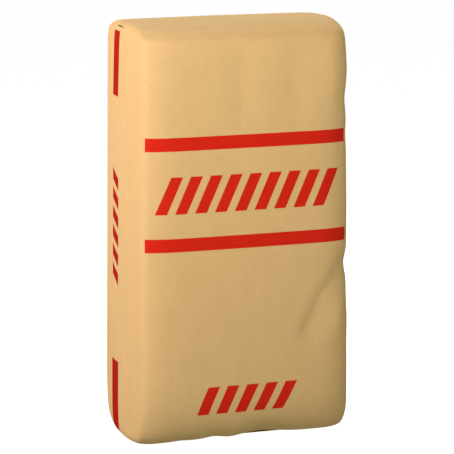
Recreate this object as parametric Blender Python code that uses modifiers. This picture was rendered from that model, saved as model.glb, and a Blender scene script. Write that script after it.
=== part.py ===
"""Models a filled 25 kg paper cement bag, standing on its pasted bottom.

Metres, +Z up. The front looks along -Y and the narrow side with the valve's corner along -X.
The origin is on the floor, under the middle of the bag.
"""
import math

import bmesh
import bpy
from mathutils import Vector

# Driving sizes of the filled bag
HEIGHT = 0.490
WIDTH = 0.267
THICKNESS = 0.167
PAPER = 0.0004
GLUE_GAP = 0.0003

# The section at mid height is a rectangle with crowned faces and round corners
SIDE_CROWN = 0.0098
FACE_CROWN = 0.0015
CORNER_ACROSS = 0.0365
CORNER_DEEP = 0.013

# The load settles, so the foot is wider than the top
SPREAD_ACROSS = 0.0028
SPREAD_DEEP = 0.0016

# Each end rolls in over a quarter of an ellipse, far more in depth than across.
# The power keeps the foot's roll across close to the floor
TOP_ROLL = {"height": 0.018, "across": 0.0052, "deep": 0.0497, "power": 1.0}
BOTTOM_ROLL = {"height": 0.060, "across": 0.0043, "deep": 0.0303, "power": 2.1}

# Cells of the coarse cage: across, deep, and up, where each end's roll has its own
CELLS_ACROSS = 12
CELLS_DEEP = 8
CELLS_IN_ROLL = 3
CELLS_UP = 18
CORNER_CELLS = 2

# Cover sheets pasted on the two ends, across and deep
TOP_SHEET = (0.236, 0.112)
TOP_SHEET_CORNER_CUT = 0.010
BOTTOM_SHEET = (0.220, 0.080)

# Soft hollows and swellings: middle, reach and push of each, in metres
PUSHES = (
    ((0.134, -0.060, 0.206), (0.030, 0.050, 0.013), (-0.0031, 0.0009, 0.0)),
    ((0.134, -0.060, 0.400), (0.025, 0.045, 0.013), (-0.0020, 0.0, 0.0)),
    ((0.134, -0.060, 0.358), (0.025, 0.045, 0.010), (-0.0008, 0.0, 0.0)),
    ((0.134, -0.060, 0.435), (0.030, 0.060, 0.018), (0.0011, 0.0, 0.0)),
    ((0.115, -0.080, 0.438), (0.022, 0.040, 0.036), (0.0, -0.0014, 0.0)),
    ((0.134, -0.060, 0.283), (0.030, 0.060, 0.055), (0.0007, 0.0, 0.0)),
    ((0.134, -0.060, 0.166), (0.025, 0.045, 0.020), (-0.0005, 0.0, 0.0)),
    ((0.134, -0.060, 0.028), (0.030, 0.060, 0.020), (0.0013, 0.0, 0.0)),
    ((0.104, -0.080, 0.150), (0.020, 0.040, 0.030), (0.0, -0.0012, 0.0)),
    ((0.0257, -0.062, 0.006), (0.030, 0.024, 0.022), (0.0, 0.0, 0.0056)),
    ((-0.0298, -0.062, 0.006), (0.016, 0.024, 0.022), (0.0, 0.0, 0.0032)),
    ((-0.0173, -0.062, 0.006), (0.0143, 0.024, 0.022), (0.0, 0.0, -0.0018)),
    ((-0.112, -0.062, 0.004), (0.030, 0.035, 0.022), (0.0, -0.0020, 0.0)),
    ((-0.130, -0.038, 0.002), (0.020, 0.024, 0.014), (-0.0020, 0.0, 0.0)),
    ((-0.130, 0.050, 0.024), (0.020, 0.020, 0.014), (-0.0007, 0.0, 0.0)),
    ((-0.010, 0.030, 0.490), (0.035, 0.060, 0.020), (0.0, 0.0, 0.0004)),
)
# Diagonal crease of the front, from the dented right edge down to the left, steeper on its upper side
CREASE_LINE = (Vector((0.1168, -0.0754, 0.2018)), Vector((0.0920, -0.0829, 0.1724)),
               Vector((0.0740, -0.0837, 0.1343)))
CREASE_REACH_ABOVE = 0.0085
CREASE_REACH_BELOW = 0.024
CREASE_DEPTH = 0.0028

KRAFT_COLOUR = (0.62, 0.40, 0.20, 1.0)
KRAFT_ROUGHNESS = 0.75

BODY_INSET = PAPER + GLUE_GAP
HALF_ACROSS = WIDTH / 2 - SIDE_CROWN
HALF_DEEP = THICKNESS / 2 - FACE_CROWN


def clear_scene():
    for old in list(bpy.data.objects):
        bpy.data.objects.remove(old, do_unlink=True)


def make_collection(name):
    collection = bpy.data.collections.new(name)
    bpy.context.scene.collection.children.link(collection)
    return collection


def make_kraft(name):
    material = bpy.data.materials.new(name)
    material.use_nodes = True
    shader = material.node_tree.nodes["Principled BSDF"]
    shader.inputs["Base Color"].default_value = KRAFT_COLOUR
    shader.inputs["Roughness"].default_value = KRAFT_ROUGHNESS
    shader.inputs["Metallic"].default_value = 0.0
    return material


def add_object(name, mesh, collection, material=None):
    """Turns a bmesh into a named object of a collection."""
    data = bpy.data.meshes.new(name)
    mesh.to_mesh(data)
    mesh.free()
    if material:
        data.materials.append(material)
    made = bpy.data.objects.new(name, data)
    collection.objects.link(made)
    return made


def along_edge(share, cells, half, radius):
    """Goes from an edge's middle (share 0) to its corner (share 1).

    Gives the distance along the straight run and the angle turned on the corner.
    """
    straight = 1 - 2 * CORNER_CELLS / cells
    if share <= straight:
        return share / straight * (half - radius), 0.0
    return half - radius, (share - straight) / (1 - straight) * math.pi / 4


def section_point(u, v):
    """Maps the outline of the square -1..1 to the bag's section at mid height."""
    if abs(v) >= abs(u):
        run, turn = along_edge(abs(u), CELLS_ACROSS, HALF_ACROSS, CORNER_ACROSS)
        x = run + CORNER_ACROSS * math.sin(turn)
        y = HALF_DEEP - CORNER_DEEP + CORNER_DEEP * math.cos(turn)
    else:
        run, turn = along_edge(abs(v), CELLS_DEEP, HALF_DEEP, CORNER_DEEP)
        x = HALF_ACROSS - CORNER_ACROSS + CORNER_ACROSS * math.cos(turn)
        y = run + CORNER_DEEP * math.sin(turn)
    side_crown = SIDE_CROWN * (1 - (y / HALF_DEEP) ** 2)
    face_crown = FACE_CROWN * (1 - (x / HALF_ACROSS) ** 2)
    return math.copysign(x + side_crown, u), math.copysign(y + face_crown, v)


def level(w):
    """Height and the two insets of the ring at w, which runs from -1 to 1 in even steps."""
    cell = round((w + 1) / 2 * CELLS_UP)
    low, high = BODY_INSET, HEIGHT - BODY_INSET
    if cell <= CELLS_IN_ROLL:
        roll, steps, end, inward = BOTTOM_ROLL, cell, low, 1
    elif cell >= CELLS_UP - CELLS_IN_ROLL:
        roll, steps, end, inward = TOP_ROLL, CELLS_UP - cell, high, -1
    else:
        start = low + BOTTOM_ROLL["height"]
        stop = high - TOP_ROLL["height"]
        share = (cell - CELLS_IN_ROLL) / (CELLS_UP - 2 * CELLS_IN_ROLL)
        return start + share * (stop - start), 0.0, 0.0
    turn = steps / CELLS_IN_ROLL * math.pi / 2
    height = end + inward * roll["height"] * (1 - math.cos(turn))
    inset = 1 - math.sin(turn)
    return height, roll["across"] * inset ** roll["power"], roll["deep"] * inset


def bag_point(cube_point):
    """Maps a point of the cube's surface to the filled bag's surface."""
    u, v, w = cube_point
    reach = max(abs(u), abs(v))
    height, inset_across, inset_deep = level(w)
    if reach < 1e-6:
        return Vector((0, 0, height))
    x, y = section_point(u / reach, v / reach)
    lean = 1 - 2 * height / HEIGHT
    across = 1 + (SPREAD_ACROSS * lean - inset_across) / HALF_ACROSS
    deep = 1 + (SPREAD_DEEP * lean - inset_deep) / HALF_DEEP
    return Vector((x * across * reach, y * deep * reach, height))


def split_along(mesh, axis, cells):
    """Cuts every edge that runs along one axis into equal cells."""
    edges = [e for e in mesh.edges
             if abs((e.verts[0].co - e.verts[1].co).normalized()[axis]) > 0.99]
    bmesh.ops.subdivide_edges(mesh, edges=edges, cuts=cells - 1, use_grid_fill=True)


def make_cage(collection):
    """The coarse cage: a cube cut into cells, with its points moved to the bag's surface."""
    mesh = bmesh.new()
    bmesh.ops.create_cube(mesh, size=2)
    for axis, cells in enumerate((CELLS_ACROSS, CELLS_DEEP, CELLS_UP)):
        split_along(mesh, axis, cells)
    for point in mesh.verts:
        point.co = bag_point(point.co)
    cage = add_object("sack_cage", mesh, collection)
    smooth = cage.modifiers.new("smooth", "SUBSURF")
    smooth.levels = 1
    smooth.render_levels = 1
    return cage


def crease_push(point):
    """Inward push of the diagonal crease at one point."""
    share_of_depth = 0.0
    for start, end in zip(CREASE_LINE, CREASE_LINE[1:]):
        run = end - start
        share = (point - start).dot(run) / run.length_squared
        away = point - (start + min(max(share, 0.0), 1.0) * run)
        upper_side = Vector((run.z, 0, -run.x)).normalized()
        above = (1 + away.dot(upper_side) / max(away.length, 1e-9)) / 2
        reach = CREASE_REACH_BELOW + above * (CREASE_REACH_ABOVE - CREASE_REACH_BELOW)
        share_of_depth = max(share_of_depth, math.exp(-(away.length / reach) ** 2))
    return Vector((0, CREASE_DEPTH * share_of_depth, 0))


def press(data):
    """Presses the hollows, the swellings and the crease into the smooth sack."""
    for vertex in data.vertices:
        point = vertex.co.copy()
        move = crease_push(point)
        for middle, reach, push in PUSHES:
            away = sum(((point[i] - middle[i]) / reach[i]) ** 2 for i in range(3))
            move += Vector(push) * math.exp(-away)
        vertex.co = point + move


def make_sack(collection, guides, material):
    """The filled sack: its tube, folded ends and contents as one closed body."""
    cage = make_cage(guides)
    evaluated = cage.evaluated_get(bpy.context.evaluated_depsgraph_get())
    data = bpy.data.meshes.new_from_object(evaluated)
    bpy.data.objects.remove(cage)
    data.name = "sack_body"
    press(data)
    data.shade_smooth()
    data.materials.append(material)
    sack = bpy.data.objects.new("sack_body", data)
    collection.objects.link(sack)
    return sack


def cut_outside(mesh, distance, direction):
    """Removes what lies further than a distance from the middle, in one direction."""
    everything = list(mesh.verts) + list(mesh.edges) + list(mesh.faces)
    normal = Vector(direction).normalized()
    bmesh.ops.bisect_plane(mesh, geom=everything, plane_co=normal * distance,
                           plane_no=normal, clear_outer=True)


def make_top_sheet(sack, collection, material):
    """The cover sheet pasted on the folded top, which follows the sack's surface there."""
    mesh = bmesh.new()
    mesh.from_mesh(sack.data)
    turned_away = [face for face in mesh.faces if face.normal.z < 0.3]
    bmesh.ops.delete(mesh, geom=turned_away, context="FACES")
    half_across, half_deep = TOP_SHEET[0] / 2, TOP_SHEET[1] / 2
    corner_distance = (half_across + half_deep - TOP_SHEET_CORNER_CUT) / math.sqrt(2)
    for side in (-1, 1):
        cut_outside(mesh, half_across, (side, 0, 0))
        cut_outside(mesh, half_deep, (0, side, 0))
        for other in (-1, 1):
            cut_outside(mesh, corner_distance, (side, other, 0))
    mesh.normal_update()
    for vertex in mesh.verts:
        vertex.co += vertex.normal * GLUE_GAP
    sheet = add_object("top_cover_sheet", mesh, collection, material)
    solid = sheet.modifiers.new("paper", "SOLIDIFY")
    solid.thickness = PAPER
    solid.offset = 1.0


def make_bottom_sheet(collection, material):
    """The cover sheet pasted on the folded bottom, which lies flat on the floor."""
    mesh = bmesh.new()
    bmesh.ops.create_cube(mesh, size=1)
    bmesh.ops.scale(mesh, vec=(*BOTTOM_SHEET, PAPER), verts=mesh.verts)
    bmesh.ops.translate(mesh, vec=(0, 0, PAPER / 2), verts=mesh.verts)
    add_object("bottom_cover_sheet", mesh, collection, material)


def main():
    clear_scene()
    bag = make_collection("cement_bag")
    guides = make_collection("guides")
    sack = make_sack(bag, guides, make_kraft("kraft_paper"))
    sheet_paper = make_kraft("sheet_paper")
    make_top_sheet(sack, bag, sheet_paper)
    make_bottom_sheet(bag, sheet_paper)


main()
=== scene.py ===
"""Dresses the cement bag: a filled kraft paper sack with its red print, in a pale studio."""
import math

import bmesh
import bpy
import numpy as np
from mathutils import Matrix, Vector
from mathutils.bvhtree import BVHTree


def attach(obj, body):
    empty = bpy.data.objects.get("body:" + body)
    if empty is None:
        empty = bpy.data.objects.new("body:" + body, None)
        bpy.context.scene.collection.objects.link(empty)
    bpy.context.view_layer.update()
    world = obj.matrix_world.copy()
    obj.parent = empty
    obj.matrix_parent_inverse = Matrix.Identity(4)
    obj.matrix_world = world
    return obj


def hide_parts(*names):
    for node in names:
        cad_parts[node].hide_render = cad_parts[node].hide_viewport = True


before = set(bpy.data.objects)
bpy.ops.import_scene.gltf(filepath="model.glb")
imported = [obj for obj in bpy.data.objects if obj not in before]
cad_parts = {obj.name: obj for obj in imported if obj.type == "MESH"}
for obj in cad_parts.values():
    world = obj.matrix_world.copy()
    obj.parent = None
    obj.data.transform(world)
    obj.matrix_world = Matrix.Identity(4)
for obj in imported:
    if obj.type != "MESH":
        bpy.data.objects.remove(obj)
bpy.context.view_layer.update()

# The bag's own sizes, in metres, repeated from its solid
HEIGHT = 0.490
WIDTH = 0.267
THICKNESS = 0.167
PAPER = 0.0004
GLUE_GAP = 0.0003
# How far the narrow sides and the two faces bulge in their middle
SIDE_CROWN = 0.0098
FACE_CROWN = 0.0015
# Radii of the rounded upright corners
CORNER_ACROSS = 0.0365
CORNER_DEEP = 0.013
# How much the foot spreads, and the top draws in
SPREAD_ACROSS = 0.0028
SPREAD_DEEP = 0.0016
# The roll over each end: its height, how far it draws in, and the power that eases it in across
TOP_ROLL = {"height": 0.018, "across": 0.0052, "deep": 0.0497, "power": 1.0}
BOTTOM_ROLL = {"height": 0.060, "across": 0.0043, "deep": 0.0303, "power": 2.1}
# Cells of the coarse cage, and how near to an axis an edge runs that is cut along it
CELLS_ACROSS = 12
CELLS_DEEP = 8
CELLS_IN_ROLL = 3
CELLS_UP = 18
CORNER_CELLS = 2
ALONG_AXIS = 0.99
# Small values that keep a division by nothing from happening
TINY_REACH = 1e-6
TINY_DISTANCE = 1e-9

# Dents and swellings shared with the solid: middle, reach and push of each
PUSHES = (
    ((0.134, -0.060, 0.206), (0.030, 0.050, 0.013), (-0.0031, 0.0009, 0.0)),
    ((0.134, -0.060, 0.400), (0.025, 0.045, 0.013), (-0.0020, 0.0, 0.0)),
    ((0.134, -0.060, 0.358), (0.025, 0.045, 0.010), (-0.0008, 0.0, 0.0)),
    ((0.134, -0.060, 0.435), (0.030, 0.060, 0.018), (0.0011, 0.0, 0.0)),
    ((0.115, -0.080, 0.438), (0.022, 0.040, 0.036), (0.0, -0.0014, 0.0)),
    ((0.134, -0.060, 0.283), (0.030, 0.060, 0.055), (0.0007, 0.0, 0.0)),
    ((0.134, -0.060, 0.166), (0.025, 0.045, 0.020), (-0.0005, 0.0, 0.0)),
    ((0.134, -0.060, 0.028), (0.030, 0.060, 0.020), (0.0013, 0.0, 0.0)),
    ((0.104, -0.080, 0.150), (0.020, 0.040, 0.030), (0.0, -0.0012, 0.0)),
    ((0.0257, -0.062, 0.006), (0.030, 0.024, 0.022), (0.0, 0.0, 0.0056)),
    ((-0.0298, -0.062, 0.006), (0.016, 0.024, 0.022), (0.0, 0.0, 0.0032)),
    ((-0.0173, -0.062, 0.006), (0.0143, 0.024, 0.022), (0.0, 0.0, -0.0018)),
    ((-0.112, -0.062, 0.004), (0.030, 0.035, 0.022), (0.0, -0.0020, 0.0)),
    ((-0.130, -0.038, 0.002), (0.020, 0.024, 0.014), (-0.0020, 0.0, 0.0)),
    ((-0.130, 0.050, 0.024), (0.020, 0.020, 0.014), (-0.0007, 0.0, 0.0)),
    ((-0.010, 0.030, 0.490), (0.035, 0.060, 0.020), (0.0, 0.0, 0.0004)),
)
# Diagonal crease of the front, from the dented right edge down to the left, steeper on its upper side
CREASE_LINE = (Vector((0.1168, -0.0754, 0.2018)), Vector((0.0920, -0.0829, 0.1724)),
               Vector((0.0740, -0.0837, 0.1343)))
CREASE_REACH_ABOVE = 0.0085
CREASE_REACH_BELOW = 0.024
CREASE_DEPTH = 0.0028

# Waves and small swellings, too shallow for the solid: middle, reach and push
WAVES = (
    ((-0.074, -0.062, 0.006), (0.0105, 0.024, 0.022), (0.0, 0.0, 0.0008)),
    ((-0.008, -0.080, 0.425), (0.018, 0.040, 0.056), (0.0, 0.0014, 0.0)),
    ((0.024, -0.080, 0.430), (0.015, 0.040, 0.060), (0.0, -0.0002, 0.0)),
    ((0.058, -0.080, 0.425), (0.017, 0.040, 0.060), (0.0, 0.0011, 0.0)),
    ((0.116, -0.078, 0.140), (0.013, 0.040, 0.019), (0.0, -0.0026, 0.0)),
    ((0.106, -0.080, 0.440), (0.016, 0.040, 0.038), (0.0, -0.0016, 0.0)),
    ((0.119, -0.075, 0.203), (0.010, 0.040, 0.008), (0.0, -0.0012, 0.0)),
)
# The tube's fold at each corner, a low ridge up the whole height: its reach and how far it stands out
FOLD_REACH = 0.0035
FOLD_OUT = 0.00035
FOLD_PLACE = (0.118, -0.076)
# The left front fold stands out in full, the others only by a share
FOLD_SHARE_RIGHT = 0.3
FOLD_SHARE_BACK = 0.5

HALF_ACROSS = WIDTH / 2 - SIDE_CROWN
HALF_DEEP = THICKNESS / 2 - FACE_CROWN
BODY_INSET = PAPER + GLUE_GAP
SMOOTH_LEVELS = 3
OUTLINE_STEPS = 400

# The red print in metres on the flat paper, where the front's middle is 0 across
BAR_ENDS = (-0.1236, 0.1227)
BARS = ((0.2344, 0.2501), (0.3507, 0.3663))
STRIPE_SLANT = 0.45
STRIPE_SHARE = 0.6
BIG_STRIPES = {"middle": (0.0, 0.2996), "half": (0.1026, 0.0214), "count": 9}
SMALL_STRIPES = {"middle": (-0.0019, 0.0556), "half": (0.0540, 0.0167), "count": 5}
SIDE_STRIPES = {"middle": (0.2506, 0.0080), "half": (0.0630, 0.0122), "count": 6}
# The two strips up the narrow side: low and high end, the middle at each end, and the half width
SIDE_STRIPS = (
    {"ends": (0.0, 0.0903), "middles": (0.0080, 0.0080), "half": 0.0135},
    {"ends": (0.4041, 0.4801), "middles": (0.0098, 0.0046), "half": 0.0117},
)
INK_EDGE = 0.0005
# The front's print stays within this run of paper from the front's middle, so none of it is on the back
FRONT_RUN = 0.2

# The valve's mouth on the upper edge of the narrow side: its ends, the way up, and half its opening
MOUTH_BACK = Vector((-0.128, 0.0100, 0.4864))
MOUTH_FRONT = Vector((-0.128, -0.0150, 0.4858))
MOUTH_UPHILL = Vector((0.6, 0.0, 0.8))
MOUTH_HALF = 0.0008
MOUTH_END_SHARE = 0.3
MOUTH_STEPS = 25
OPENING_POINTS = 4
# The lip below the mouth, rooted in the sack's paper
LIP_HEIGHT = 0.0045
LIP_OUT = 0.0009
LIP_PAPER = 0.0002
LIP_SUNK = 2 * LIP_PAPER
LIP_POINTS = 6
OPENING_PAPER = LIP_PAPER / 4

# The glued overlap up the back: its free edge, width, and lowest and highest point
SEAM_EDGE = -0.020
SEAM_WIDTH = 0.036
SEAM_ENDS = (0.020, 0.472)
SEAM_LIFT = 0.0006
SEAM_SUNK = 1.5 * PAPER
SEAM_STEPS = 91
SEAM_POINTS = 7
# Its lift fades out over one part in this many at each end
SEAM_FADE_PARTS = 14
SEAM_SHADE = 0.0011
SEAM_SHADE_FADE = 0.02

# The pasted top sheet is sunk a little into the sack's paper here. In the solid, parts keep a gap
TOP_SHEET = (0.236, 0.112)
TOP_SHEET_CORNER_CUT = 0.010
SHEET_HALF_ACROSS = TOP_SHEET[0] / 2
SHEET_HALF_DEEP = TOP_SHEET[1] / 2
SHEET_CORNER_SUM = SHEET_HALF_ACROSS + SHEET_HALF_DEEP - TOP_SHEET_CORNER_CUT
SHEET_SUNK = 0.00003
SHEET_PAPER = 0.00015
SHEET_SHADE = 0.0009
SHEET_SHADE_STRENGTH = 0.5
# Faces of the sack that point up less than this are no place for the sheet
SHEET_LEAST_UPWARD = 0.3
# Edges of the thin papers that turn more than this many degrees are drawn sharp
SHARP_ANGLE = 40

KRAFT_LIGHT = (0.775, 0.483, 0.210, 1)
KRAFT_DARK = (0.693, 0.427, 0.180, 1)
KRAFT_FLECK = (0.46, 0.27, 0.106, 1)
SHEET_LIGHT = (0.746, 0.479, 0.221, 1)
SHEET_DARK = (0.666, 0.422, 0.189, 1)
INK_LIGHT = (0.71, 0.023, 0.010, 1)
INK_DARK = (0.65, 0.019, 0.008, 1)
SIDE_INK_LIGHT = (0.45, 0.017, 0.012, 1)
SIDE_INK_DARK = (0.41, 0.014, 0.010, 1)
# Painted shade: the dark brown of the valve's mouth stands in for the shadow inside the opening
PAINTED_MOUTH_SHADE_LIGHT = (0.085, 0.021, 0.004, 1)
PAINTED_MOUTH_SHADE_DARK = (0.055, 0.013, 0.002, 1)
PAPER_ROUGHNESS = (0.78, 0.92)
INK_ROUGHNESS = 0.72
# The paper's tone runs from its dark shade to its light one over this range
TONE_RANGE = (0.35, 0.75)
# Layers of the paper's tone: how each is squeezed along the height, its scale, and its share of the tone
FIBRES = {"squeeze": 0.3, "scale": 900.0, "share": 0.60}
CLOUDS = {"squeeze": 0.6, "scale": 55.0, "share": 0.32}
STREAKS = {"squeeze": 0.06, "scale": 240.0, "share": 0.18}
NOISE_DETAIL = 3.0
# Darker flecks, each in a cell of its own: where it fades out, and the share of cells that have none
FLECKS = {"squeeze": 0.4, "scale": 240.0, "fade": (0.10, 0.17), "without": 0.78, "strength": 0.22}
RELIEF_STRENGTH = 0.35
RELIEF_DEPTH = 0.0002

# Camera, found from the photograph's lines: its angle, distance and place in a square frame
VIEW_AZIMUTH = -18.5
VIEW_ELEVATION = 11.55
VIEW_DISTANCE = 2.876
FRAME_PIXELS = 454
FOCAL_PIXELS = 2437
SENSOR = 36.0
PICTURE_OFFSET = (-1.42, 2.08)

# Soft round lamps: azimuth from the front, height, power and colour
LAMP_AWAY = 1.1
LAMP_SIZE = 0.6
LAMPS = {
    "front_lamp": (0, 0.8, 5.86, (0.947, 1.0, 0.94)),
    "key_lamp": (-60, 0.8, 10.75, (1.0, 0.943, 1.0)),
    "low_side_lamp": (-100, 0.35, 2.40, (1.0, 0.943, 1.0)),
    "rear_side_lamp": (-150, 0.8, 6.24, (0.887, 0.943, 1.0)),
    "back_lamp": (150, 1.4, 18.1, (0.887, 0.943, 1.0)),
}
LAMP_AIM = Vector((0, 0, 0.245))

# Soft light from all round, strongest from below, and the plain floor and backdrop themselves
FLOOR_LIGHT = 0.476
FLOOR_LIGHT_TINT = (0.89, 1.0, 0.88, 1)
BACKDROP = (0.97, 0.97, 0.97, 1)
FLOOR_SIZE = 60
FLOOR_WHITE = (0.30, 0.30, 0.30, 1)
FLOOR_GLOW = 0.97


def add_object(name, data, material=None):
    """Adds an object with its data, and its material if it has one, to the scene."""
    if material:
        data.materials.append(material)
    made = bpy.data.objects.new(name, data)
    bpy.context.scene.collection.objects.link(made)
    return made


def view_axis():
    """Direction from the bag to the camera."""
    azimuth, elevation = math.radians(VIEW_AZIMUTH), math.radians(VIEW_ELEVATION)
    return Vector((math.sin(azimuth) * math.cos(elevation),
                   -math.cos(azimuth) * math.cos(elevation), math.sin(elevation)))


def make_camera():
    """The camera at the photograph's angle, aimed so that the bag sits where the photograph has it."""
    data = bpy.data.cameras.new("camera")
    data.sensor_width = SENSOR
    data.lens = FOCAL_PIXELS / FRAME_PIXELS * SENSOR
    camera = add_object("camera", data)
    turn = view_axis().to_track_quat("Z", "Y")
    camera.rotation_mode = "QUATERNION"
    camera.rotation_quaternion = turn
    metres = VIEW_DISTANCE / FOCAL_PIXELS
    offset = turn @ Vector((PICTURE_OFFSET[0] * metres, PICTURE_OFFSET[1] * metres, 0))
    camera.location = Vector((0, 0, HEIGHT / 2)) + view_axis() * VIEW_DISTANCE - offset
    bpy.context.scene.camera = camera


def along_edge(share, cells, half, radius):
    """From an edge's middle (share 0) to its corner (share 1): the straight run and the corner's angle."""
    straight = 1 - 2 * CORNER_CELLS / cells
    if share <= straight:
        return share / straight * (half - radius), 0.0
    return half - radius, (share - straight) / (1 - straight) * math.pi / 4


def section_point(u, v):
    """Maps the outline of the square -1..1 to the bag's section at mid height."""
    if abs(v) >= abs(u):
        run, turn = along_edge(abs(u), CELLS_ACROSS, HALF_ACROSS, CORNER_ACROSS)
        x = run + CORNER_ACROSS * math.sin(turn)
        y = HALF_DEEP - CORNER_DEEP + CORNER_DEEP * math.cos(turn)
    else:
        run, turn = along_edge(abs(v), CELLS_DEEP, HALF_DEEP, CORNER_DEEP)
        x = HALF_ACROSS - CORNER_ACROSS + CORNER_ACROSS * math.cos(turn)
        y = run + CORNER_DEEP * math.sin(turn)
    side_crown = SIDE_CROWN * (1 - (y / HALF_DEEP) ** 2)
    face_crown = FACE_CROWN * (1 - (x / HALF_ACROSS) ** 2)
    return math.copysign(x + side_crown, u), math.copysign(y + face_crown, v)


def level(w):
    """Height and the two insets of the ring at w, which runs from -1 to 1 in even steps."""
    cell = round((w + 1) / 2 * CELLS_UP)
    low, high = BODY_INSET, HEIGHT - BODY_INSET
    if cell <= CELLS_IN_ROLL:
        roll, steps, end, inward = BOTTOM_ROLL, cell, low, 1
    elif cell >= CELLS_UP - CELLS_IN_ROLL:
        roll, steps, end, inward = TOP_ROLL, CELLS_UP - cell, high, -1
    else:
        start = low + BOTTOM_ROLL["height"]
        stop = high - TOP_ROLL["height"]
        share = (cell - CELLS_IN_ROLL) / (CELLS_UP - 2 * CELLS_IN_ROLL)
        return start + share * (stop - start), 0.0, 0.0
    turn = steps / CELLS_IN_ROLL * math.pi / 2
    height = end + inward * roll["height"] * (1 - math.cos(turn))
    inset = 1 - math.sin(turn)
    return height, roll["across"] * inset ** roll["power"], roll["deep"] * inset


def bag_point(cube_point):
    """Maps a point of the cube's surface to the filled bag's surface."""
    u, v, w = cube_point
    reach = max(abs(u), abs(v))
    height, inset_across, inset_deep = level(w)
    if reach < TINY_REACH:
        return Vector((0, 0, height))
    x, y = section_point(u / reach, v / reach)
    lean = 1 - 2 * height / HEIGHT
    across = 1 + (SPREAD_ACROSS * lean - inset_across) / HALF_ACROSS
    deep = 1 + (SPREAD_DEEP * lean - inset_deep) / HALF_DEEP
    return Vector((x * across * reach, y * deep * reach, height))


def split_along(mesh, axis, cells):
    """Cuts every edge that runs along one axis into equal cells."""
    edges = [edge for edge in mesh.edges
             if abs((edge.verts[0].co - edge.verts[1].co).normalized()[axis]) > ALONG_AXIS]
    bmesh.ops.subdivide_edges(mesh, edges=edges, cuts=cells - 1, use_grid_fill=True)


def mesh_data(mesh, name):
    """Turns an edit mesh into an object's data, and frees it."""
    data = bpy.data.meshes.new(name)
    mesh.to_mesh(data)
    mesh.free()
    return data


def apply_modifiers(obj):
    """The object's mesh with its modifiers worked in."""
    evaluated = obj.evaluated_get(bpy.context.evaluated_depsgraph_get())
    return bpy.data.meshes.new_from_object(evaluated)


def smooth_sack():
    """The sack's smooth surface, from the same coarse cage as its solid, many times finer."""
    mesh = bmesh.new()
    bmesh.ops.create_cube(mesh, size=2)
    for axis, cells in enumerate((CELLS_ACROSS, CELLS_DEEP, CELLS_UP)):
        split_along(mesh, axis, cells)
    for point in mesh.verts:
        point.co = bag_point(point.co)
    data = mesh_data(mesh, "sack_cage")
    cage = add_object("sack_cage", data)
    smooth = cage.modifiers.new("smooth", "SUBSURF")
    smooth.levels = SMOOTH_LEVELS
    smooth.render_levels = SMOOTH_LEVELS
    fine = apply_modifiers(cage)
    bpy.data.objects.remove(cage)
    bpy.data.meshes.remove(data)
    return fine


def read_vectors(data, name):
    """One vector for each of the mesh's points: its place (co) or its normal."""
    vectors = np.empty(len(data.vertices) * 3)
    data.vertices.foreach_get(name, vectors)
    return vectors.reshape(-1, 3)


def write_points(data, points):
    """Moves the mesh's points to new places."""
    data.vertices.foreach_set("co", points.ravel())
    data.update()


def turn_from_front(x, y):
    """Angle round the bag, 0 at the front's middle and pi at the back's."""
    return np.arctan2(np.abs(x), -y)


def paper_run():
    """Angles round half the section, and how far along the paper each of them is."""
    first = [(share, -1) for share in np.linspace(0, 1, OUTLINE_STEPS)]
    second = [(1, share) for share in np.linspace(-1, 1, 2 * OUTLINE_STEPS)[1:]]
    third = [(share, 1) for share in np.linspace(1, 0, OUTLINE_STEPS)[1:]]
    outline = np.array([section_point(*place) for place in first + second + third])
    steps = np.linalg.norm(np.diff(outline, axis=0), axis=1)
    return turn_from_front(outline[:, 0], outline[:, 1]), np.concatenate(([0], np.cumsum(steps)))


RUN_ANGLES, RUN_LENGTHS = paper_run()
SIDE_MIDDLE = float(np.interp(math.pi / 2, RUN_ANGLES, RUN_LENGTHS))
FOLD_RUN = float(np.interp(turn_from_front(*FOLD_PLACE), RUN_ANGLES, RUN_LENGTHS))


def paper_coordinates(points):
    """Each point's place on the flat paper: across with its sign, up, and across without its sign."""
    across = np.interp(turn_from_front(points[:, 0], points[:, 1]), RUN_ANGLES, RUN_LENGTHS)
    return np.stack([np.copysign(across, points[:, 0]), points[:, 2], across], axis=1)


def bumps(points, pushes):
    """Sum of soft round pushes at each point."""
    moves = np.zeros_like(points)
    for middle, reach, push in pushes:
        away = (((points - middle) / reach) ** 2).sum(axis=1)
        moves += np.exp(-away)[:, None] * push
    return moves


def crease(points):
    """Inward push of the front's diagonal crease at each point."""
    share_of_depth = np.zeros(len(points))
    for start, end in zip(CREASE_LINE, CREASE_LINE[1:]):
        run = np.array(end - start)
        share = ((points - start) @ run / (run @ run)).clip(0, 1)
        away = points - (np.array(start) + share[:, None] * run)
        distance = np.linalg.norm(away, axis=1).clip(TINY_DISTANCE)
        upper_side = np.array((run[2], 0, -run[0])) / math.hypot(run[0], run[2])
        above = (1 + away @ upper_side / distance) / 2
        reach = CREASE_REACH_BELOW + above * (CREASE_REACH_ABOVE - CREASE_REACH_BELOW)
        share_of_depth = np.maximum(share_of_depth, np.exp(-(distance / reach) ** 2))
    moves = np.zeros_like(points)
    moves[:, 1] = CREASE_DEPTH * share_of_depth
    return moves


def fold_ridges(points, normals, paper):
    """Outward push along the folds of the tube's four corners."""
    from_front = paper[:, 2]
    near_front = np.exp(-((from_front - FOLD_RUN) / FOLD_REACH) ** 2)
    near_back = np.exp(-((2 * SIDE_MIDDLE - from_front - FOLD_RUN) / FOLD_REACH) ** 2)
    front_share = np.where(points[:, 0] < 0, 1.0, FOLD_SHARE_RIGHT)
    out = FOLD_OUT * (near_front * front_share + near_back * FOLD_SHARE_BACK)
    upright = 1 - np.abs(normals[:, 2])
    return normals * (out * upright)[:, None]


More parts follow.
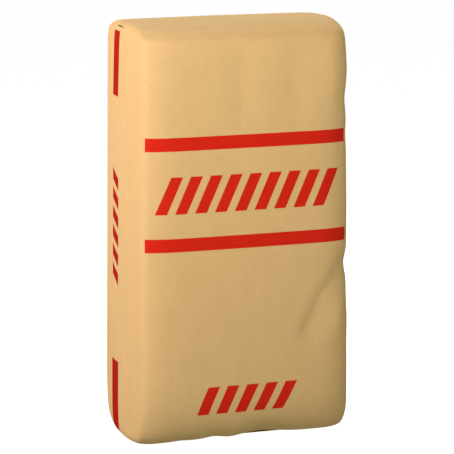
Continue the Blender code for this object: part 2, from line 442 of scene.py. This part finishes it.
def make_sack(material):
    """The filled sack, with its place on the flat paper kept at each point for the print."""
    data = smooth_sack()
    data.name = "filled_sack"
    points, normals = read_vectors(data, "co"), read_vectors(data, "normal")
    paper = paper_coordinates(points)
    kept = data.attributes.new("paper", "FLOAT_VECTOR", "POINT")
    kept.data.foreach_set("vector", paper.ravel())
    moves = bumps(points, PUSHES + WAVES) + crease(points) + fold_ridges(points, normals, paper)
    write_points(data, points + moves)
    data.shade_smooth()
    sack = add_object("filled_sack", data, material)
    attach(sack, "root")
    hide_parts("sack_body")
    return sack


def cut_outside(mesh, distance, direction):
    """Removes what lies further than a distance from the middle, in one direction."""
    everything = list(mesh.verts) + list(mesh.edges) + list(mesh.faces)
    normal = Vector(direction).normalized()
    bmesh.ops.bisect_plane(mesh, geom=everything, plane_co=normal * distance,
                           plane_no=normal, clear_outer=True)


def thicken(obj, thickness):
    """Gives a sheet its paper's thickness, outward from its face."""
    solid = obj.modifiers.new("paper", "SOLIDIFY")
    solid.thickness = thickness
    solid.offset = 1.0
    thick = apply_modifiers(obj)
    obj.modifiers.clear()
    obj.data = thick
    obj.data.shade_smooth()
    obj.data.set_sharp_from_angle(angle=math.radians(SHARP_ANGLE))


def make_top_sheet(sack, material):
    """The cover sheet pasted on the folded top, cut from the sack's own surface."""
    mesh = bmesh.new()
    mesh.from_mesh(sack.data)
    turned_away = [face for face in mesh.faces if face.normal.z < SHEET_LEAST_UPWARD]
    bmesh.ops.delete(mesh, geom=turned_away, context="FACES")
    for side in (-1, 1):
        cut_outside(mesh, SHEET_HALF_ACROSS, (side, 0, 0))
        cut_outside(mesh, SHEET_HALF_DEEP, (0, side, 0))
        for other in (-1, 1):
            cut_outside(mesh, SHEET_CORNER_SUM / math.sqrt(2), (side, other, 0))
    mesh.normal_update()
    for vertex in mesh.verts:
        vertex.co -= vertex.normal * SHEET_SUNK
    sheet = add_object("top_cover_paper", mesh_data(mesh, "top_cover_paper"), material)
    thicken(sheet, SHEET_PAPER)
    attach(sheet, "root")
    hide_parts("top_cover_sheet")


def make_patch(name, surface, grid, thickness, material):
    """A strip of paper on the sack's surface, from rows of guiding points, each with its lift."""
    mesh = bmesh.new()
    rows = []
    for row in grid:
        placed = []
        for guide, lift in row:
            nearest, normal, _, _ = surface.find_nearest(guide)
            placed.append(mesh.verts.new(nearest + normal * lift))
        rows.append(placed)
    for low, high in zip(rows, rows[1:]):
        for first, second, third, fourth in zip(low, low[1:], high[1:], high):
            mesh.faces.new((first, second, third, fourth))
    mesh.normal_update()
    patch = add_object(name, mesh_data(mesh, name), material)
    thicken(patch, thickness)
    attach(patch, "root")


def lip_row(place, bow):
    """Guiding points of the lip across the slit, from its root up to its free edge."""
    free_edge = place - MOUTH_UPHILL * MOUTH_HALF * bow
    row = []
    for up in np.linspace(0, 1, LIP_POINTS):
        lift = (LIP_PAPER + LIP_OUT * bow) * up ** 2 - LIP_SUNK
        row.append((free_edge - MOUTH_UPHILL * LIP_HEIGHT * (1 - up), lift))
    return row


def opening_row(place, bow):
    """Guiding points of the thin dark sheet of painted shade across the slit, widest in the slit's middle.
    """
    opened = MOUTH_END_SHARE + (1 - MOUTH_END_SHARE) * bow
    return [(place + MOUTH_UPHILL * MOUTH_HALF * up * opened, OPENING_PAPER)
            for up in np.linspace(-1, 1, OPENING_POINTS)]


def make_valve_mouth(surface, paper, inside):
    """The slit of the filling valve: a lip that bows out, with a thin dark sheet of painted shade behind
    it for the shadow in the opening.
    """
    lip, opening = [], []
    for share in np.linspace(0, 1, MOUTH_STEPS):
        place = MOUTH_BACK.lerp(MOUTH_FRONT, share)
        bow = math.sin(share * math.pi)
        lip.append(lip_row(place, bow))
        opening.append(opening_row(place, bow))
    make_patch("valve_lip", surface, lip, LIP_PAPER, paper)
    make_patch("valve_mouth", surface, opening, OPENING_PAPER, inside)


def make_back_seam(surface, paper):
    """The tube's glued overlap straight up the back, which stands out a little along its free edge."""
    rows = []
    for share in np.linspace(0, 1, SEAM_STEPS):
        height = SEAM_ENDS[0] + share * (SEAM_ENDS[1] - SEAM_ENDS[0])
        fade = min(1.0, SEAM_FADE_PARTS * share, SEAM_FADE_PARTS * (1 - share))
        row = []
        for step in np.linspace(0, 1, SEAM_POINTS):
            guide = Vector((SEAM_EDGE + SEAM_WIDTH * step, THICKNESS, height))
            row.append((guide, (PAPER + SEAM_LIFT) * fade * (1 - step) - SEAM_SUNK))
        rows.append(row)
    make_patch("back_seam_lap", surface, rows, PAPER, paper)


def new_material(name):
    """A matt material, ready for its colour and its relief."""
    material = bpy.data.materials.new(name)
    material.use_nodes = True
    material.node_tree.nodes["Principled BSDF"].inputs["Specular IOR Level"].default_value = 0.0
    return material


def add_node(tree, kind, inputs, **settings):
    """A shader node with its settings, and its inputs set or linked by name or number."""
    node = tree.nodes.new(kind)
    for name, value in settings.items():
        setattr(node, name, value)
    for name, value in inputs.items():
        if isinstance(value, bpy.types.NodeSocket):
            tree.links.new(value, node.inputs[name])
        else:
            node.inputs[name].default_value = value
    return node


def calc(tree, operation, *values):
    """The result of one step of arithmetic in a material."""
    return add_node(tree, "ShaderNodeMath", dict(enumerate(values)), operation=operation).outputs[0]


def mix_colours(tree, share, first, second):
    """The first colour where the share is 0 and the second where it is 1."""
    node = add_node(tree, "ShaderNodeMix", {0: share, 6: first, 7: second}, data_type="RGBA")
    return node.outputs[2]


def map_range(tree, value, low, high, start=0.0, stop=1.0):
    """Goes evenly from start to stop while the value goes from low to high."""
    limits = {"From Min": low, "From Max": high, "To Min": start, "To Max": stop}
    return add_node(tree, "ShaderNodeMapRange", {"Value": value, **limits}).outputs["Result"]


def between(tree, value, low, high, edge=INK_EDGE):
    """1 where the value lies between two limits and 0 outside, with a narrow soft edge."""
    after = map_range(tree, value, low - edge / 2, low + edge / 2)
    before = map_range(tree, value, high - edge / 2, high + edge / 2, 1.0, 0.0)
    return calc(tree, "MULTIPLY", after, before)


def largest(tree, values):
    """The largest of several values."""
    result = values[0]
    for value in values[1:]:
        result = calc(tree, "MAXIMUM", result, value)
    return result


def squeezed_place(tree, squeeze):
    """The object's own coordinates, squeezed along the bag's height so that a pattern runs up it."""
    place = add_node(tree, "ShaderNodeTexCoord", {}).outputs["Object"]
    return add_node(tree, "ShaderNodeVectorMath", {0: place, 1: (1, 1, squeeze)},
                    operation="MULTIPLY").outputs[0]


def tone_layer(tree, layer):
    """One layer of the paper's tone, from soft noise."""
    inputs = {"Vector": squeezed_place(tree, layer["squeeze"]), "Scale": layer["scale"],
              "Detail": NOISE_DETAIL}
    return calc(tree, "MULTIPLY", add_node(tree, "ShaderNodeTexNoise", inputs).outputs[0], layer["share"])


def paper_tone(tree):
    """Fine fibres along the tube, soft clouds and faint streaks, about 0.55 on average."""
    fibres, clouds, streaks = [tone_layer(tree, layer) for layer in (FIBRES, CLOUDS, STREAKS)]
    return calc(tree, "ADD", fibres, calc(tree, "ADD", clouds, streaks))


def with_flecks(tree, colour):
    """Adds the few darker fibre flecks that unbleached paper has."""
    inputs = {"Vector": squeezed_place(tree, FLECKS["squeeze"]), "Scale": FLECKS["scale"]}
    cells = add_node(tree, "ShaderNodeTexVoronoi", inputs)
    near = map_range(tree, cells.outputs["Distance"], *FLECKS["fade"], 1.0, 0.0)
    draw = add_node(tree, "ShaderNodeSeparateXYZ", {0: cells.outputs["Color"]}).outputs[0]
    chosen = calc(tree, "GREATER_THAN", draw, FLECKS["without"])
    strength = calc(tree, "MULTIPLY", calc(tree, "MULTIPLY", near, chosen), FLECKS["strength"])
    return mix_colours(tree, strength, colour, KRAFT_FLECK)


def add_paper_relief(tree, shader, tone):
    """Fine bump of the fibres."""
    inputs = {"Strength": RELIEF_STRENGTH, "Distance": RELIEF_DEPTH, "Height": tone}
    bump = add_node(tree, "ShaderNodeBump", inputs)
    tree.links.new(bump.outputs[0], shader.inputs["Normal"])


def slanted_stripes(tree, along, across, layout):
    """A row of slanted stripes, each a little wider than the gap beside it."""
    middle_along, middle_across = layout["middle"]
    half_along, half_across = layout["half"]
    shifted = calc(tree, "SUBTRACT", across, middle_across)
    leaning = calc(tree, "SUBTRACT", calc(tree, "SUBTRACT", along, middle_along),
                   calc(tree, "MULTIPLY", shifted, STRIPE_SLANT))
    step = 2 * half_along / (layout["count"] - 1 + STRIPE_SHARE)
    turns = calc(tree, "DIVIDE", calc(tree, "ADD", leaning, half_along), step)
    before = (1 - STRIPE_SHARE) / 2
    phase = calc(tree, "FRACT", calc(tree, "ADD", turns, before))
    inked = between(tree, phase, before, before + STRIPE_SHARE, INK_EDGE / step)
    inside = calc(tree, "MULTIPLY", between(tree, leaning, -half_along, half_along),
                  between(tree, shifted, -half_across, half_across))
    return calc(tree, "MULTIPLY", inked, inside)


def front_print(tree, across, up, from_front):
    """1 where the front's bars and stripes are inked."""
    off_the_back = calc(tree, "LESS_THAN", from_front, FRONT_RUN)
    on_front = calc(tree, "MULTIPLY", between(tree, across, *BAR_ENDS), off_the_back)
    masks = [between(tree, up, low, high) for low, high in BARS]
    masks += [slanted_stripes(tree, across, up, layout) for layout in (BIG_STRIPES, SMALL_STRIPES)]
    return calc(tree, "MULTIPLY", on_front, largest(tree, masks))


def side_print(tree, across, up, from_front):
    """1 where the strips and stripes of the valve's side are inked."""
    from_side = calc(tree, "SUBTRACT", from_front, SIDE_MIDDLE)
    masks = [slanted_stripes(tree, up, from_side, SIDE_STRIPES)]
    for strip in SIDE_STRIPS:
        middle = map_range(tree, up, *strip["ends"], *strip["middles"])
        off_middle = calc(tree, "SUBTRACT", from_side, middle)
        masks.append(calc(tree, "MULTIPLY", between(tree, up, *strip["ends"]),
                          between(tree, off_middle, -strip["half"], strip["half"])))
    return calc(tree, "MULTIPLY", calc(tree, "LESS_THAN", across, 0.0), largest(tree, masks))


def seam_shade(tree, across, up, from_front):
    """1 in the thin shadow along the free edge of the back's overlap."""
    from_back = calc(tree, "SUBTRACT", 2 * SIDE_MIDDLE, from_front)
    line = between(tree, from_back, -SEAM_EDGE - SEAM_SHADE / 2, -SEAM_EDGE + SEAM_SHADE)
    line = calc(tree, "MULTIPLY", line, between(tree, up, *SEAM_ENDS, edge=SEAM_SHADE_FADE))
    return calc(tree, "MULTIPLY", line, calc(tree, "LESS_THAN", across, 0.0))


def sheet_shade(tree):
    """Strength of the thin shadow beside the top sheet's back and right edges."""
    place = add_node(tree, "ShaderNodeTexCoord", {}).outputs["Object"]
    x, y, z = add_node(tree, "ShaderNodeSeparateXYZ", {0: place}).outputs
    past_corner = calc(tree, "SUBTRACT", calc(tree, "ADD", x, y), SHEET_CORNER_SUM)
    outside = largest(tree, [calc(tree, "SUBTRACT", x, SHEET_HALF_ACROSS),
                             calc(tree, "SUBTRACT", y, SHEET_HALF_DEEP),
                             calc(tree, "DIVIDE", past_corner, math.sqrt(2))])
    strength = calc(tree, "MULTIPLY", between(tree, outside, 0.0, SHEET_SHADE), SHEET_SHADE_STRENGTH)
    least = ((x, TOP_SHEET_CORNER_CUT - SHEET_HALF_ACROSS), (y, TOP_SHEET_CORNER_CUT - SHEET_HALF_DEEP),
             (z, HEIGHT - TOP_ROLL["height"]))
    for value, limit in least:
        strength = calc(tree, "MULTIPLY", strength, calc(tree, "GREATER_THAN", value, limit))
    return strength


def paper_shades(tree, tone, dark, light):
    """A colour between its dark and light shades, by the paper's tone."""
    return mix_colours(tree, map_range(tree, tone, *TONE_RANGE), dark, light)


def make_kraft(name, dark=KRAFT_DARK, light=KRAFT_LIGHT):
    """Plain brown sack paper."""
    material = new_material(name)
    tree = material.node_tree
    shader = tree.nodes["Principled BSDF"]
    tone = paper_tone(tree)
    tree.links.new(with_flecks(tree, paper_shades(tree, tone, dark, light)), shader.inputs["Base Color"])
    tree.links.new(map_range(tree, tone, *TONE_RANGE, *PAPER_ROUGHNESS), shader.inputs["Roughness"])
    add_paper_relief(tree, shader, tone)
    return material


def make_printed_kraft(name):
    """The same paper with the red print, which is a little smoother than the paper."""
    material = make_kraft(name)
    tree = material.node_tree
    shader = tree.nodes["Principled BSDF"]
    paper = add_node(tree, "ShaderNodeAttribute", {}, attribute_name="paper").outputs["Vector"]
    across, up, from_front = add_node(tree, "ShaderNodeSeparateXYZ", {0: paper}).outputs
    tone = paper_tone(tree)
    front, side = front_print(tree, across, up, from_front), side_print(tree, across, up, from_front)
    colour = shader.inputs["Base Color"].links[0].from_socket
    colour = mix_colours(tree, front, colour, paper_shades(tree, tone, INK_DARK, INK_LIGHT))
    colour = mix_colours(tree, side, colour, paper_shades(tree, tone, SIDE_INK_DARK, SIDE_INK_LIGHT))
    colour = mix_colours(tree, seam_shade(tree, across, up, from_front), colour, KRAFT_FLECK)
    colour = mix_colours(tree, sheet_shade(tree), colour, KRAFT_FLECK)
    tree.links.new(colour, shader.inputs["Base Color"])
    inked = calc(tree, "MAXIMUM", front, side)
    roughness = shader.inputs["Roughness"].links[0].from_socket
    tree.links.new(map_range(tree, inked, 0.0, 1.0, roughness, INK_ROUGHNESS), shader.inputs["Roughness"])
    return material


def make_floor():
    """A plain pale floor. The world gives the light that it would throw back on the bag."""
    bpy.ops.mesh.primitive_plane_add(size=FLOOR_SIZE)
    floor = bpy.context.active_object
    floor.name = "floor"
    material = new_material("floor_white")
    shader = material.node_tree.nodes["Principled BSDF"]
    shader.inputs["Base Color"].default_value = FLOOR_WHITE
    shader.inputs["Emission Color"].default_value = (1, 1, 1, 1)
    shader.inputs["Emission Strength"].default_value = FLOOR_GLOW
    floor.data.materials.append(material)
    floor.visible_diffuse = False
    floor.visible_glossy = False
    floor.visible_shadow = False


def make_world():
    """Soft light, strongest from below, as a white floor gives it, and a pale backdrop for the camera."""
    world = bpy.data.worlds.new("studio")
    bpy.context.scene.world = world
    world.use_nodes = True
    tree = world.node_tree
    light = tree.nodes["Background"]
    light.inputs["Color"].default_value = FLOOR_LIGHT_TINT
    direction = add_node(tree, "ShaderNodeTexCoord", {}).outputs["Generated"]
    upward = add_node(tree, "ShaderNodeSeparateXYZ", {0: direction}).outputs[2]
    tree.links.new(map_range(tree, upward, 1.0, -1.0, 0.0, FLOOR_LIGHT), light.inputs["Strength"])
    backdrop = add_node(tree, "ShaderNodeBackground", {"Color": BACKDROP})
    seen = add_node(tree, "ShaderNodeLightPath", {}).outputs["Is Camera Ray"]
    both = add_node(tree, "ShaderNodeMixShader", {0: seen, 1: light.outputs[0], 2: backdrop.outputs[0]})
    tree.links.new(both.outputs[0], tree.nodes["World Output"].inputs["Surface"])


def make_lamp(name, azimuth, height, power, colour):
    """A soft round lamp that stands off the bag and points at its middle, out of the camera's sight."""
    data = bpy.data.lights.new(name, "AREA")
    data.shape = "DISK"
    data.size = LAMP_SIZE
    data.energy = power
    data.color = colour
    lamp = add_object(name, data)
    lamp.visible_camera = False
    turn = math.radians(azimuth)
    lamp.location = (math.sin(turn) * LAMP_AWAY, -math.cos(turn) * LAMP_AWAY, height)
    lamp.rotation_mode = "QUATERNION"
    lamp.rotation_quaternion = (Vector(lamp.location) - LAMP_AIM).to_track_quat("Z", "Y")


def make_lights():
    """All the light, and tones shown as they are."""
    make_world()
    for name, (azimuth, height, power, colour) in LAMPS.items():
        make_lamp(name, azimuth, height, power, colour)
    bpy.context.scene.view_settings.view_transform = "Standard"


make_camera()
sack = make_sack(make_printed_kraft("printed_kraft"))
plain_kraft = make_kraft("plain_kraft")
sheet_kraft = make_kraft("sheet_kraft", SHEET_DARK, SHEET_LIGHT)
make_top_sheet(sack, sheet_kraft)
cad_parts["bottom_cover_sheet"].data.materials[0] = sheet_kraft
bpy.context.view_layer.update()
surface = BVHTree.FromObject(sack, bpy.context.evaluated_depsgraph_get())
# The mouth's dark paper is painted shade, for the shadow inside the opening
make_valve_mouth(surface, plain_kraft, make_kraft("valve_mouth_painted_shade", PAINTED_MOUTH_SHADE_DARK, PAINTED_MOUTH_SHADE_LIGHT))
make_back_seam(surface, plain_kraft)
make_floor()
make_lights()
